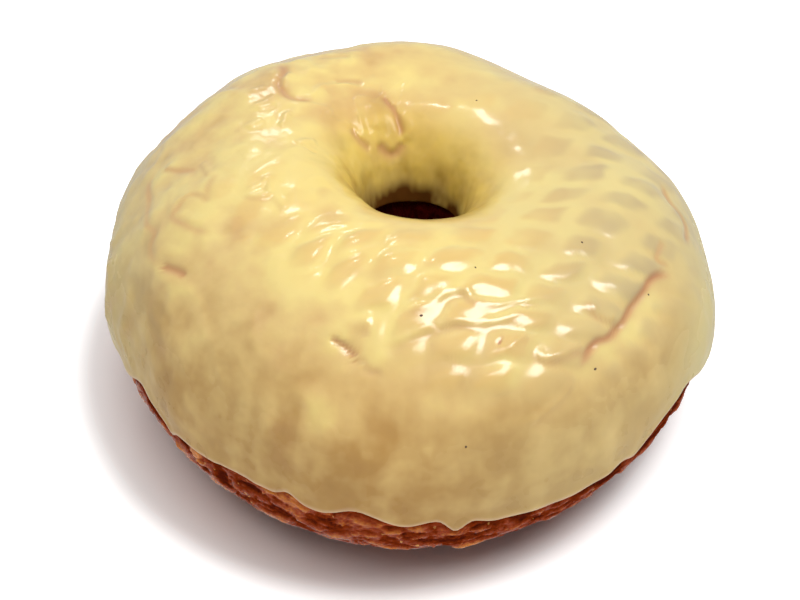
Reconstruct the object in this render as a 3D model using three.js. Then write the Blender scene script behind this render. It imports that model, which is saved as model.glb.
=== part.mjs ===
// A glazed ring doughnut: the fried ring of yeast dough, and the lemon icing that coats its upper side.
// Millimetres, +Z up. The ring lies flat on z = 0, with the origin under the middle of its box.
// Angles round the hole are in degrees from +X, angles round the section from the widest side over the crown.
import * as THREE from 'three';

// Driving dimensions of the ring
const ringRadius = 48.0;
const ringHeight = 45.0;
const holeRadius = 6.8;
const waistHeight = 21.0;
const crownPlace = 0.39;
const flatDepth = 1.7;
const roundness = { side: 1.93, hole: 3.05, under: 2.38 };
const holeAxis = [-0.8, 0];

// The uneven shape: waves that run round the ring, each with a number of crests and the place of one of them
const planWaves = [
  { crests: 2, size: 1.58, at: -48.5 },
  { crests: 3, size: 0.77, at: 0 },
  { crests: 4, size: 0.57, at: 5 },
];
const heightWaves = [
  { crests: 1, size: 1.34, at: 195.6 },
  { crests: 2, size: 0.54, at: 74.3 },
];
const holeWaves = [{ crests: 1, size: 1.24, at: 42 }];

// The icing, and where it ends on the side and in the hole
const icingThickness = 1.25;
const restGap = 0.5;
const lipRounding = 0.45;
const sideEdgeHeight = 18.9;
const holeEdgeHeight = 30.0;
const sideEdgeWaves = [
  { crests: 2, size: 0.4, at: 100 },
  { crests: 5, size: 0.3, at: 30 },
];
const holeEdgeWaves = [
  { crests: 1, size: 0.3, at: 150 },
  { crests: 3, size: 0.3, at: 20 },
];

// Runs of icing down the side, and bays between them where the edge stays high
const runs = [
  { at: 212, drop: -2.6, width: 5 },
  { at: 218, drop: -0.7, width: 2.4 },
  { at: 222.4, drop: 1.3, width: 1.3 },
  { at: 227, drop: -0.3, width: 3.5 },
  { at: 239, drop: -0.6, width: 6 },
  { at: 245.5, drop: -0.4, width: 1.8 },
  { at: 250.4, drop: -1.8, width: 2.2 },
  { at: 262.3, drop: -1.9, width: 3.4 },
  { at: 270.8, drop: 1.2, width: 2.8 },
  { at: 278.6, drop: 3.1, width: 1.9 },
  { at: 285.5, drop: 2.3, width: 4.5 },
  { at: 292.5, drop: 1.8, width: 4.5 },
  { at: 299.5, drop: 1.8, width: 4.5 },
  { at: 306.5, drop: 1.5, width: 4 },
  { at: 314.4, drop: 2.8, width: 3.4 },
  { at: 320, drop: 0.9, width: 2.6 },
  { at: 330, drop: -2.2, width: 5 },
  { at: 344, drop: 0.6, width: 5 },
  { at: 14, drop: -1.2, width: 7 },
  { at: 36, drop: 2.2, width: 4 },
  { at: 62, drop: 1.2, width: 9 },
  { at: 88, drop: -1.6, width: 6 },
  { at: 108, drop: 2.0, width: 4 },
  { at: 140, drop: 1.1, width: 10 },
  { at: 172, drop: -1.3, width: 7 },
  { at: 191, drop: 1.4, width: 4 },
];

// Low lumps of the whole ring, as waves along a direction
const lumps = [
  { size: 0.34, length: 31, along: [0.8, 0.5, 0.3], start: 0.4 },
  { size: 0.28, length: 23, along: [-0.45, 0.8, 0.4], start: 1.9 },
  { size: 0.2, length: 17, along: [0.3, -0.6, 0.74], start: 3.3 },
];

// The mesh of the cooling rack, pressed into the crown: soft pillows between lines where the icing pools.
// Rows and columns are counted over a span, with a small bend as the dough spread on it.
const rackSpan = 30;
const rackCentre = [0, -20];
const rackRows = { start: -0.14, x: 1.01, y: -5.79, xx: -0.38, xy: -0.85, yy: 1.25 };
const rackColumns = { start: -2.25, x: 4.26, y: -2.09, xx: -0.33, xy: -0.35, yy: 0.19 };
const pillowHeight = 0.35;
const rackFade = { slope: [0.45, 0.8], behind: [4, 16], left: [-34, -24] };

// Folds of the icing, as routes seen from above, with how deep and how wide each is
const folds = [
  { deep: 1.0, wide: 1.3, route: [[40, -15.5], [36, -18], [34, -21], [32.5, -24.5], [31, -28.2], [27, -31],
    [24.4, -33.6], [22.8, -36.2], [21.3, -39]] },
  { deep: 0.8, wide: 1.3, route: [[39.6, 6], [40, 1], [42, -3], [42, -7.5]] },
  { deep: 0.8, wide: 1.4, route: [[-39.2, 1], [-38.4, -5], [-36.8, -9.5], [-36, -13.5], [-34.3, -17],
    [-30.2, -21.6]] },
  { deep: 0.7, wide: 1.3, route: [[-28, -3.5], [-28.8, -9], [-32.6, -8.6], [-32.4, -12], [-29.4, -14.6],
    [-27.2, -16.6]] },
  { deep: 0.9, wide: 1.5, route: [[-8.6, 11.5], [-8.8, 15.5], [-7, 19], [-4.2, 19.3], [-2.2, 17],
    [-1.4, 13]] },
  { deep: 0.8, wide: 1.5, route: [[-19.4, 19], [-18.6, 24], [-15, 27.5], [-10, 28.5], [-5, 27]] },
];

// The fried crust below the icing
const crustInset = 0.9;
const crustStep = 0.8;
const crustCrags = [
  { size: 0.3, length: 11, along: [0.9, 0.35, 0.5], start: 0.7 },
  { size: 0.22, length: 8.5, along: [-0.5, 0.8, 0.6], start: 2.2 },
];

// How finely each surface is divided: round the hole, and along the section
const icingOuterSteps = { round: 96, along: 36 };
const icingInnerSteps = { round: 48, along: 20 };
const doughSteps = { round: 72, coated: 12, bare: 11 };

const fullTurn = 360;
const radians = THREE.MathUtils.degToRad;

function waves(list, at) {
  return list.reduce((sum, wave) => sum + wave.size * Math.cos(wave.crests * radians(at - wave.at)), 0);
}

// A point of the curve |x|^n + |y|^n = 1 in the direction of an angle: a circle where n is 2, squarer above
function roundedCurve(angle, power) {
  const x = Math.cos(radians(angle));
  const y = Math.sin(radians(angle));
  const reach = (Math.abs(x) ** power + Math.abs(y) ** power) ** (-1 / power);
  return { x: reach * x, y: reach * y };
}

// A point of the smooth ring form, with the hole's axis at x = y = 0
function formPoint(roundAngle, sectionAngle) {
  const outer = ringRadius + waves(planWaves, roundAngle);
  const top = ringHeight + waves(heightWaves, roundAngle);
  const hole = holeRadius + waves(holeWaves, roundAngle);
  const crown = hole + (outer - hole) * crownPlace;
  const isOuter = Math.cos(radians(sectionAngle)) >= 0;
  const isUpper = Math.sin(radians(sectionAngle)) >= 0;
  const upperPower = isOuter ? roundness.side : roundness.hole;
  const curve = roundedCurve(sectionAngle, isUpper ? upperPower : roundness.under);
  const radius = crown + (isOuter ? outer - crown : crown - hole) * curve.x;
  const height = waistHeight + (isUpper ? top - waistHeight : waistHeight + flatDepth) * curve.y;
  const turn = radians(roundAngle);
  return new THREE.Vector3(radius * Math.cos(turn), radius * Math.sin(turn), height);
}

function angleGap(a, b) {
  return THREE.MathUtils.euclideanModulo(a - b + fullTurn / 2, fullTurn) - fullTurn / 2;
}

// The section angle where the icing ends on the side, a little below the waist
function sideEdgeAngle(roundAngle) {
  const bell = (run) => Math.exp(-((angleGap(roundAngle, run.at) / run.width) ** 2));
  const drop = runs.reduce((sum, run) => sum + run.drop * bell(run), 0);
  const height = sideEdgeHeight + waves(sideEdgeWaves, roundAngle) - drop;
  return angleAtShare((height - waistHeight) / (waistHeight + flatDepth), roundness.under);
}

// The section angle where the icing ends in the hole, well above the waist
function holeEdgeAngle(roundAngle) {
  const top = ringHeight + waves(heightWaves, roundAngle);
  const height = holeEdgeHeight + waves(holeEdgeWaves, roundAngle);
  return 180 - angleAtShare((height - waistHeight) / (top - waistHeight), roundness.hole);
}

// The angle at which the rounded curve has reached a share of its height
function angleAtShare(share, power) {
  const across = (1 - Math.abs(share) ** power) ** (1 / power);
  return THREE.MathUtils.radToDeg(Math.atan2(share, across));
}

function evenAngles(from, to, steps) {
  return Array.from({ length: steps + 1 }, (unused, step) => THREE.MathUtils.lerp(from, to, step / steps));
}

function lumpHeight(point, list) {
  const phase = (lump) => {
    const distance = point.dot(new THREE.Vector3(...lump.along));
    return (2 * Math.PI * distance) / lump.length + lump.start;
  };
  return list.reduce((sum, lump) => sum + lump.size * Math.sin(phase(lump)), 0);
}

function countOnRack(count, x, y) {
  return count.start + count.x * x + count.y * y + count.xx * x * x + count.xy * x * y + count.yy * y * y;
}

function rackHeight(point, normal) {
  const x = (point.x - rackCentre[0]) / rackSpan;
  const y = (point.y - rackCentre[1]) / rackSpan;
  const row = Math.cos(2 * Math.PI * countOnRack(rackRows, x, y));
  const column = Math.cos(2 * Math.PI * countOnRack(rackColumns, x, y));
  const fade = THREE.MathUtils.smoothstep(normal.z, ...rackFade.slope)
    * (1 - THREE.MathUtils.smoothstep(point.y, ...rackFade.behind))
    * THREE.MathUtils.smoothstep(point.x, ...rackFade.left);
  return pillowHeight * fade * (row + column) / 2;
}

function distanceToRoute(point, route) {
  const flat = new THREE.Vector3(point.x, point.y, 0);
  const closest = new THREE.Vector3();
  let nearest = Infinity;
  for (let i = 1; i < route.length; i += 1) {
    const piece = new THREE.Line3(new THREE.Vector3(...route[i - 1], 0), new THREE.Vector3(...route[i], 0));
    piece.closestPointToPoint(flat, true, closest);
    nearest = Math.min(nearest, closest.distanceTo(flat));
  }
  return nearest;
}

function foldDepth(point) {
  if (point.z < waistHeight) return 0;
  const bell = (fold) => Math.exp(-((distanceToRoute(point, fold.route) / fold.wide) ** 2));
  return Math.max(...folds.map((fold) => fold.deep * bell(fold)));
}

// A grid of points over the form: one row round the hole for each section angle
function gridOver(roundSteps, anglesAt) {
  const columns = [];
  for (let i = 0; i < roundSteps; i += 1) {
    const roundAngle = (fullTurn * i) / roundSteps;
    columns.push(anglesAt(roundAngle).map((angle) => formPoint(roundAngle, angle)));
  }
  return columns;
}

function gridNormal(grid, i, j) {
  const before = grid[(i + grid.length - 1) % grid.length][j];
  const after = grid[(i + 1) % grid.length][j];
  const column = grid[i];
  const lower = column[Math.max(j - 1, 0)];
  const upper = column[Math.min(j + 1, column.length - 1)];
  return after.clone().sub(before).cross(upper.clone().sub(lower)).normalize();
}

// Moves each point of a grid along its normal by the height given for it
function raised(grid, heightAt) {
  return grid.map((column, i) => column.map((point, j) => {
    const normal = gridNormal(grid, i, j);
    return point.clone().addScaledVector(normal, heightAt(point, normal, j, column.length - 1));
  }));
}

class ClosedMesh {
  constructor() {
    this.positions = [];
    this.triangles = [];
  }

  addGrid(grid) {
    return grid.map((column) => column.map((point) => {
      this.positions.push(point.x, point.y, point.z);
      return this.positions.length / 3 - 1;
    }));
  }

  quad(a, b, c, d) {
    this.triangles.push(a, b, c, a, c, d);
  }

  // Faces between neighbouring columns, pointing along the grid's normals or against them
  faces(rows, outward) {
    for (let i = 0; i < rows.length; i += 1) {
      const here = rows[i];
      const next = rows[(i + 1) % rows.length];
      for (let j = 1; j < here.length; j += 1) {
        if (outward) this.quad(here[j - 1], next[j - 1], next[j], here[j]);
        else this.quad(here[j - 1], here[j], next[j], next[j - 1]);
      }
    }
  }

  // Joins a rim to a coarser one that has one point for each two of its own
  seam(fine, coarse, outward) {
    const add = (a, b, c) => (outward ? this.triangles.push(a, b, c) : this.triangles.push(a, c, b));
    for (let i = 0; i < coarse.length; i += 1) {
      const first = fine[2 * i];
      const middle = fine[2 * i + 1];
      const last = fine[(2 * i + 2) % fine.length];
      const next = coarse[(i + 1) % coarse.length];
      add(first, coarse[i], middle);
      add(coarse[i], next, middle);
      add(middle, next, last);
    }
  }

  geometry() {
    const geometry = new THREE.BufferGeometry();
    geometry.setAttribute('position', new THREE.Float32BufferAttribute(this.positions, 3));
    geometry.setIndex(this.triangles);
    geometry.computeVertexNormals();
    return geometry;
  }
}

const icingMaterial = new THREE.MeshStandardMaterial({ color: 0xeed884, roughness: 0.22, metalness: 0 });
const crustMaterial = new THREE.MeshStandardMaterial({ color: 0x9f6040, roughness: 0.45, metalness: 0 });

// The icing: a coat over the ring from its edge on the side to its edge in the hole
function lemonIcing() {
  const coat = (steps) => (at) => evenAngles(sideEdgeAngle(at), holeEdgeAngle(at), steps);
  const outerForm = gridOver(icingOuterSteps.round, coat(icingOuterSteps.along));
  const innerForm = gridOver(icingInnerSteps.round, coat(icingInnerSteps.along));
  const outer = raised(outerForm, (point, normal, j, last) => {
    const lip = j === 0 || j === last ? lipRounding : 0;
    return lumpHeight(point, lumps) + rackHeight(point, normal) - foldDepth(point) - lip;
  });
  const inner = raised(innerForm, (point) => lumpHeight(point, lumps) - icingThickness);
  const mesh = new ClosedMesh();
  const outerRows = mesh.addGrid(outer);
  const innerRows = mesh.addGrid(inner);
  mesh.faces(outerRows, true);
  mesh.faces(innerRows, false);
  mesh.seam(outerRows.map((column) => column[0]), innerRows.map((column) => column[0]), true);
  mesh.seam(outerRows.map((column) => column.at(-1)), innerRows.map((column) => column.at(-1)), false);
  const icing = new THREE.Mesh(mesh.geometry(), icingMaterial);
  icing.name = 'lemon_icing';
  return icing;
}

// The fried ring: recessed under the icing, fuller where its crust shows, and flat where it rests
function doughRing() {
  const { round, coated, bare } = doughSteps;
  const edgeStep = THREE.MathUtils.radToDeg(crustStep / waistHeight);
  const around = (at) => {
    const side = sideEdgeAngle(at) - edgeStep;
    const hole = holeEdgeAngle(at) + edgeStep;
    const upper = evenAngles(side, hole, coated);
    const lower = evenAngles(hole, side + fullTurn, bare);
    return [...upper, ...lower.slice(1)];
  };
  const ring = raised(gridOver(round, around), (point, normal, j) => {
    if (j <= coated) return lumpHeight(point, lumps) - icingThickness - restGap;
    return lumpHeight(point, crustCrags) - crustInset;
  });
  const rows = ring.map((column) => column.slice(0, -1));
  rows.forEach((column) => column.forEach((point) => point.setZ(Math.max(point.z, 0))));
  const mesh = new ClosedMesh();
  mesh.faces(mesh.addGrid(rows).map((column) => [...column, column[0]]), true);
  const dough = new THREE.Mesh(mesh.geometry(), crustMaterial);
  dough.name = 'dough_ring';
  return dough;
}

const doughnut = new THREE.Group();
doughnut.add(doughRing(), lemonIcing());
doughnut.position.set(...holeAxis, 0);

export default doughnut;
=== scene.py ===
"""An iced ring doughnut: a plump fried ring of yeast dough under a glossy coat of pale lemon icing."""

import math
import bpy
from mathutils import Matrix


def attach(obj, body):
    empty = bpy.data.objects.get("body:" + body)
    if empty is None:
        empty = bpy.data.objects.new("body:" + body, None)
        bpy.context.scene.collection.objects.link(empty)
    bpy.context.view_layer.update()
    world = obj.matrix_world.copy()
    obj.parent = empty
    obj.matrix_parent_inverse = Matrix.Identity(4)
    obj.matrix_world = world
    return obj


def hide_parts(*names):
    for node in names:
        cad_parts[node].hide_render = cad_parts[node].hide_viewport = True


bl_info = {
    "name": "Lemon Iced Ring Doughnut",
    "version": (1, 0, 0),
    "blender": (4, 5, 0),
    "location": "3D View > Sidebar > Doughnut",
    "description": "Makes an iced ring doughnut with its icing, crust, specks and studio",
    "category": "Add Mesh",
}

import bmesh
import bpy
from bpy.props import FloatProperty, FloatVectorProperty, IntProperty, PointerProperty
from mathutils import Matrix, Vector

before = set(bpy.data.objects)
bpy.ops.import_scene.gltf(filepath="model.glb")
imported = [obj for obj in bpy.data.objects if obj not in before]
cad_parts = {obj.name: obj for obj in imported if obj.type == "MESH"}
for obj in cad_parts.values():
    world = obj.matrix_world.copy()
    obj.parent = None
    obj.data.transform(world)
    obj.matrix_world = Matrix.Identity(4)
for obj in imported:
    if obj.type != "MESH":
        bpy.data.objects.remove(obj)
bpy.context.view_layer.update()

MM = 0.001
FULL_TURN = 2 * math.pi
QUARTER_TURN = math.pi / 2
SEAM_GAP = 0.001 * MM
BODY = "root"
COAT_NAME = "lemon_icing_coat"
CRUST_NAME = "fried_crust"
SPECKS_NAME = "icing_specks"

# The ring's form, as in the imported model. Angles are in degrees: the turn counts round the hole from +X,
# and the section counts from the widest side over the crown into the hole.
HOLE_AXIS = (-0.8 * MM, 0.0, 0.0)
RING_RADIUS = 48.0 * MM
RING_HEIGHT = 45.0 * MM
HOLE_RADIUS = 6.8 * MM
WAIST_HEIGHT = 21.0 * MM
FLAT_DEPTH = 1.7 * MM
CROWN_PLACE = 0.39
ROUND_SIDE = 1.93
ROUND_HOLE = 3.05
ROUND_UNDER = 2.38

# Waves round the ring: number of crests, size, and where one crest is
PLAN_WAVES = ((2, 1.58, -48.5), (3, 0.77, 0), (4, 0.57, 5))
HEIGHT_WAVES = ((1, 1.34, 195.6), (2, 0.54, 74.3))
HOLE_WAVES = ((1, 1.24, 42),)
SIDE_EDGE_WAVES = ((2, 0.4, 100), (5, 0.3, 30))
HOLE_EDGE_WAVES = ((1, 0.3, 150), (3, 0.3, 20))

# The icing, and where it ends
ICING_THICKNESS = 1.25 * MM
REST_GAP = 0.5 * MM
SIDE_EDGE_HEIGHT = 18.9 * MM
HOLE_EDGE_HEIGHT = 30.0 * MM
COAT_LENGTH = 90.0 * MM

# Runs of icing down the side, and bays where the edge stays high: place, drop and width in degrees
RUNS = (
    (212, -2.6, 5), (218, -0.7, 2.4), (222.4, 1.3, 1.3), (227, -0.3, 3.5), (239, -0.6, 6),
    (245.5, -0.4, 1.8), (250.4, -1.8, 2.2), (262.3, -1.9, 3.4), (270.8, 1.2, 2.8), (278.6, 3.1, 1.9),
    (285.5, 2.3, 4.5), (292.5, 1.8, 4.5), (299.5, 1.8, 4.5), (306.5, 1.5, 4), (314.4, 2.8, 3.4),
    (320, 0.9, 2.6), (330, -2.2, 5), (344, 0.6, 5), (14, -1.2, 7), (36, 2.2, 4), (62, 1.2, 9),
    (88, -1.6, 6), (108, 2.0, 4), (140, 1.1, 10), (172, -1.3, 7), (191, 1.4, 4),
)

# Low lumps of the whole ring: size, length, direction and start
LUMPS = (
    (0.34, 31, (0.8, 0.5, 0.3), 0.4),
    (0.28, 23, (-0.45, 0.8, 0.4), 1.9),
    (0.2, 17, (0.3, -0.6, 0.74), 3.3),
)

# Rows of faces round the lip of the coat, at the side and in the hole
OUTER_LIP_ROWS = 7.0
INNER_LIP_ROWS = 4.0

# Heights of the icing's small relief
BEAD_HEIGHT = 0.16 * MM
STREAK_HEIGHT = 0.22 * MM
DENT_HEIGHT = 0.34 * MM
KNOT_HEIGHT = 0.17 * MM
PATCH_HEIGHT = 0.138635 * MM
CRUMPLE_HEIGHT = 0.26 * MM
DRIP_HEIGHT = 0.2 * MM

# How strongly the patches and ridges show as painted light in the colour, lighter where raised, and the lines
# on the patches as painted shade
PATCH_LUMPS = 0.23106
RIDGE_LUMPS = 0.4
LINE_SHADE = 0.35

# Creases and ropes: the share of a route that it fades in over, how much of a crease's swell its sides rise
# by, how far the swell, the painted shades and the painted dark in the deepest reach in times the width, and
# the depths that give them
TAPER_SHARE = 0.16
SWELL_SHARE = 0.462117
SWELL_REACH = 4.5
FOOT_REACH = 2.2
DARK_REACH = 0.9
ROPE_SHADE_REACH = 2.6
SHADE_DEPTH = 0.3 * MM
DARK_START = 0.2 * MM
DARK_SPAN = 0.25 * MM
ROPE_SHADE_HEIGHT = 0.4 * MM

# Where things begin and end: sections in degrees, slopes as the upward part of the normal, places from +X
FLANK_SECTIONS = (100, 80)
FLANK_SLOPE = (0.3, 0.95)
BOWL_SECTIONS = (98, 106)
WALL_SECTIONS = (108, 140)
# painted shade deep in the hole: the sections over which it fades in
PAINTED_HOLE_SHADE_SECTIONS = (147, 157.5)
CRUMPLED_SIDE = (6 * MM, -16 * MM)

# Noise that runs in streaks: the radius it is taken round, and the length from rim to rim
STREAK_SPREAD = (50 * MM, 14 * MM)
DRIP_SPREAD = (8.5 * MM, 45 * MM)
STRAND_RADIUS = 14 * MM

# The strands of the crust: their section's arc, and how they weave, as crests, size and start
STRAND_ARC = 26.0 * MM
STRAND_WAVES = ((3.0, 2.5, 0.0), (7.0, 1.2, 1.0))

# The mesh of the cooling rack, counted in rows and columns over a span
RACK_SPAN = 30.0 * MM
RACK_CENTRE_Y = -18.9 * MM
RACK_ROWS = {"start": -0.14, "x": 1.01, "y": -5.79, "xx": -0.38, "xy": -0.85, "yy": 1.25}
RACK_COLUMNS = {"start": -2.25, "x": 4.26, "y": -2.09, "xx": -0.33, "xy": -0.35, "yy": 0.19}
RACK_SLOPE = (0.45, 0.8)
RACK_BACK_LEAN = 0.6
RACK_BEHIND = (4 * MM, 16 * MM)
RACK_LEFT = (-34 * MM, -24 * MM)
RACK_SECTIONS = (116, 96)
RACK_PRESSED = (-12 * MM, -24 * MM)
RACK_WANDER = 0.09
GROOVE_SHARPNESS = 2.8
# the side of each rope that its painted shade falls on, away from the lamps
SHADED_SIDE = (-0.55, -0.65, -0.5)

# The bright seam that ends the rack's mesh on the left: a point on it, and the side it ends on
SEAM_POINT = (-25 * MM, -15 * MM, 0.0)
SEAM_SIDE = (-0.645, -0.764, 0.0)
SEAM_FADE = (3 * MM, -1 * MM)
SEAM_WIDTH = 1.1 * MM
SEAM_START = (-27 * MM, -20 * MM)
SEAM_STOP = (4 * MM, -4 * MM)

# Creases in the icing: how deep and wide in millimetres, how far the icing swells round them, and the route
# as turn and section. The shade falls on the route's right, or on its left where the swell is below 0.
CREASES = (
    # the long wrinkle on the right
    (0.4, 0.6, -0.3, ((339, 41), (334, 47), (329, 47), (324, 46), (319, 44), (314, 43), (311, 44),
                      (307, 42), (303, 39))),
    # the wrinkles towards the right edge
    (0.25, 0.55, -0.22, ((5, 49), (0, 47), (358, 41), (355, 38), (349, 40))),
    (0.2, 0.5, -0.15, ((344, 51), (338, 50), (339, 43))),
    # the wrinkles on the left
    (0.16, 0.6, 0.36, ((176, 52), (178, 48), (185, 49), (191, 48), (194, 48), (198, 50), (201, 46),
                       (204, 45), (208, 46))),
    (0.35, 0.6, 0.22, ((207, 45), (209, 47), (212, 49), (215, 50))),
    (0.14, 0.6, 0.34, ((188, 78), (192, 74), (196, 72), (199, 70), (196, 68), (194, 65), (196, 61),
                       (198, 58), (202, 60), (207, 63), (212, 67))),
    (0.14, 0.6, 0.3, ((182, 68), (179, 60), (176, 53))),
    (0.12, 1.0, 0.08, ((210, 77), (214, 74), (219, 71))),
    # the notch at the back left, and the creases that run on from it
    (0.3, 0.7, 0.25, ((127, 70), (131, 78), (136, 81), (138, 84), (140, 89), (139, 94), (136, 98),
                      (131, 100))),
    (0.15, 0.6, -0.15, ((117, 74), (113, 78), (107, 80))),
    (0.2, 0.6, -0.15, ((120, 94), (114, 97), (107, 100))),
    (0.1, 0.8, 0.1, ((166, 79), (159, 82), (153, 82))),
    # behind the hole: the rims of the bowl, its pinched fold, and the undercut below its lobes
    (0.05, 1.0, -0.25, ((96, 117), (98, 113), (102, 109), (108.5, 105.5), (114.5, 106.5), (120.5, 111.5),
                        (124.8, 118.5), (126, 125), (124, 130))),
    (0.05, 1.0, 0.25, ((93, 121.5), (87.5, 116), (81, 112), (75, 110), (69, 110.5), (64, 114.5),
                       (61, 120))),
    (0.15, 0.7, 0.0, ((114, 111), (114, 118), (116, 125), (116, 131))),
    (0.36, 0.6, 0.12, ((101, 109), (99, 116), (96, 121), (94, 126), (92, 131), (90, 135))),
    (0.3, 0.7, 0.12, ((129, 124), (128, 130), (124, 134), (119, 136))),
    (0.34, 0.8, 0.15, ((113, 134), (108, 138), (102, 140), (95, 139), (89, 135))),
    # the short open pleat at the front left
    (0.36, 0.45, -0.3, ((254, 56), (256, 55), (258, 54), (260, 52), (262, 50))),
    (0.1, 0.5, -0.15, ((260, 52), (262, 50), (263, 48), (266, 48))),
    # a short crease at the left of the hole
    (0.15, 0.35, -0.1, ((171, 112), (174, 116), (177, 119))),
    # small pits where bubbles burst
    (0.45, 0.6, 0.0, ((276, 60), (276.5, 60))),
    (0.45, 0.6, 0.0, ((290, 55.5), (290.5, 55))),
)

# Raised ropes of icing: how high and wide in millimetres, and the route as turn and section
ROPES = (
    # the thin rope that goes on from the long wrinkle
    (0.22, 0.45, ((303, 38), (300, 34), (296, 31), (291, 28))),
    # round the bowl behind the hole
    (0.25, 0.7, ((137, 94), (132, 98), (126, 95), (122, 97), (116, 99), (111, 102))),
    (0.25, 1.1, ((107, 114), (108, 122), (110, 130))),
    (0.25, 1.0, ((93, 123), (88, 126), (86, 131), (90, 135))),
    # the thin lines that catch the light at the back left
    (0.25, 0.5, ((130, 80), (135, 83), (139, 85))),
    (0.3, 0.5, ((153, 81), (148, 84), (142, 86))),
    (0.25, 0.45, ((153, 83), (150, 86), (147, 88))),
    (0.2, 0.5, ((145, 75), (143, 77), (140, 79))),
    (0.3, 0.6, ((159, 97), (155, 99), (150, 97), (148, 100))),
    (0.3, 0.8, ((172, 110), (167, 114), (164, 119))),
    (0.2, 0.6, ((140, 100), (136, 106), (133, 111), (136, 116))),
    (0.22, 0.8, ((163, 84), (160, 86), (157, 88))),
    (0.2, 0.5, ((178, 70), (182, 72), (188, 74))),
    (0.15, 0.4, ((193, 66), (193, 62), (193, 59))),
    (0.25, 0.5, ((202, 82), (205, 84), (207, 89), (200, 93), (195, 96))),
    (0.2, 0.45, ((202, 83), (201, 87), (200, 90), (196, 93))),
    (0.15, 0.5, ((206, 90), (212, 91), (219, 90))),
    # drips down the left side
    (0.3, 1.1, ((188, 22), (192, 21), (194, 16), (194, 9), (197, 4))),
    (0.3, 1.1, ((201, 30), (203, 24), (203, 16), (203, 10), (206, 5), (210, 1))),
    # the bulge over the pleat, and those between the rack's cells at the front right
    (0.3, 1.1, ((258, 55), (258, 60), (260, 63), (263, 64))),
    (0.35, 0.5, ((297, 51), (298, 47), (301, 46), (304, 46), (308, 45))),
    (0.35, 0.5, ((316, 57), (315, 52), (317, 48), (319, 47))),
    (0.35, 0.55, ((265, 56), (269, 59), (275, 63), (281, 65), (287, 63), (294, 63), (298, 63), (300, 59))),
    (0.35, 0.55, ((268, 69), (274, 70), (281, 74), (286, 75), (288, 71), (294, 68), (299, 67), (306, 64))),
    (0.3, 0.5, ((291, 52), (294, 55), (297, 56))),
)

# Round places where the icing pooled (brightness above 0) or ran thin (below 0), and where it swells:
# turn, section, reach in millimetres, brightness and swell in millimetres
SPOTS = (
    (190, 87, 9.0, 0.5, 0.0), (203, 108, 7.0, 0.4, 0.0), (215, 74, 2.2, -0.9, 0.0),
    (328, 42, 2.6, 0.9, -0.1), (320, 40, 2.6, 0.9, -0.1), (312, 39, 2.4, 0.9, 0.0), (305, 37, 2.2, 0.8, 0.0),
    (288, -12, 1.5, 0.9, 0.0), (293, -11, 1.4, 0.8, 0.0),
    (111, 114, 5.0, -0.9, 0.0), (100, 128, 3.6, -0.6, 0.0), (76, 118, 4.0, -0.3, 0.0),
    (104, 118, 3.2, 0.0, 0.3), (117, 121, 2.6, 0.0, 0.25), (76, 121, 3.0, 0.0, 0.25),
    (74, 128, 4.0, -0.8, 0.0), (139, 112, 4.0, -0.7, 0.0),
    # the spots at turns 24 and 11, right of the hole, are partly thin icing and partly painted shade on the
    # slope that faces away from the light
    (131, 76, 2.4, -1.0, 0.0), (24, 112, 6.0, -0.65, 0.0), (11, 96, 5.0, -0.4, 0.0),
    (340, 60, 7.0, -0.3, 0.0), (214, 32, 6.0, -0.3, 0.0),
)

# Where the icing is too thin to shine: turn, section and reach in millimetres
DULL_SPOT = (108, 126, 5.0)

# Dark crumbs on the icing, as places in millimetres that the coat's nearest point is taken for
SPECKS = (
    (7.6, -45.5, 31.1), (1.6, -32.8, 43.5), (9.1, -24.6, 44.7), (24.8, -16.6, 42.6),
    (25.7, -34.2, 34.6), (34.6, -21.1, 36.7), (10.8, 15.3, 44.2),
)

# How much longer or shorter a crumb is than wide, at most, and how flat it lies
SPECK_STRETCH = 0.5
SPECK_FLATNESS = 0.7

# The camera's lens and shift, from the photograph's frame of 800 by 600
FRAME_WIDTH = 800
FRAME_HEIGHT = 600
FOCAL_PIXELS = 1487.83
PHOTO_CENTRE = (403.61, 276.41)
SENSOR_WIDTH = 36.0
AIM_HEIGHT = 21.0 * MM
NEAR_CLIP = 0.01

# The lamps: place and size in metres, and what each is left out of
LAMPS = {
    "ceiling": {"place": (-0.06, -0.03, 0.45), "size": (0.45, 0.45), "shines": False},
    "softbox": {"place": (0.22, -0.07, 0.45), "size": (0.22, 0.17)},
    "shine": {"place": (0.215, -0.11, 0.45), "size": (0.28, 0.2), "lights": False},
    "glint": {"place": (-0.036, 0.207, 0.43), "size": (0.045, 0.04), "lights": False},
    "window": {"place": (-0.10, 0.40, 0.30), "size": (0.055, 0.05)},
}

# The floor, which glows outside the shadow, so that it shows white, and has a painted shadow: a darker,
# warmer colour near the doughnut
FLOOR_HALF = 2.0
FLOOR_DROP = 0.05 * MM
FLOOR_GLOW = 0.38
FLOOR_COLOUR = (0.95, 0.95, 0.95)
WHITE = (1.0, 1.0, 1.0, 1.0)
GLOW_REACH = (52 * MM, 58 * MM)
SHADOW_COLOUR = (0.89, 0.83, 0.805)
SHADOW_REACH = (45 * MM, 60 * MM)
SHADOW_CENTRE = (-5.0 * MM, 7.7 * MM, 0.0)
SHADOW_SHAPE = (1.07, 1.0, 1.0)


MATH_NODE = "ShaderNodeMath"
VECTOR_NODE = "ShaderNodeVectorMath"


def step(kind, operation, output=0, turned=False):
    """A method for fields that adds one node; turned puts the field after the other value."""

    def method(field, *others):
        node = field.tree.nodes.new(kind)
        node.operation = operation
        values = (*others, field) if turned else (field, *others)
        return plugged(field.tree, node, values, output)

    return method


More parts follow.
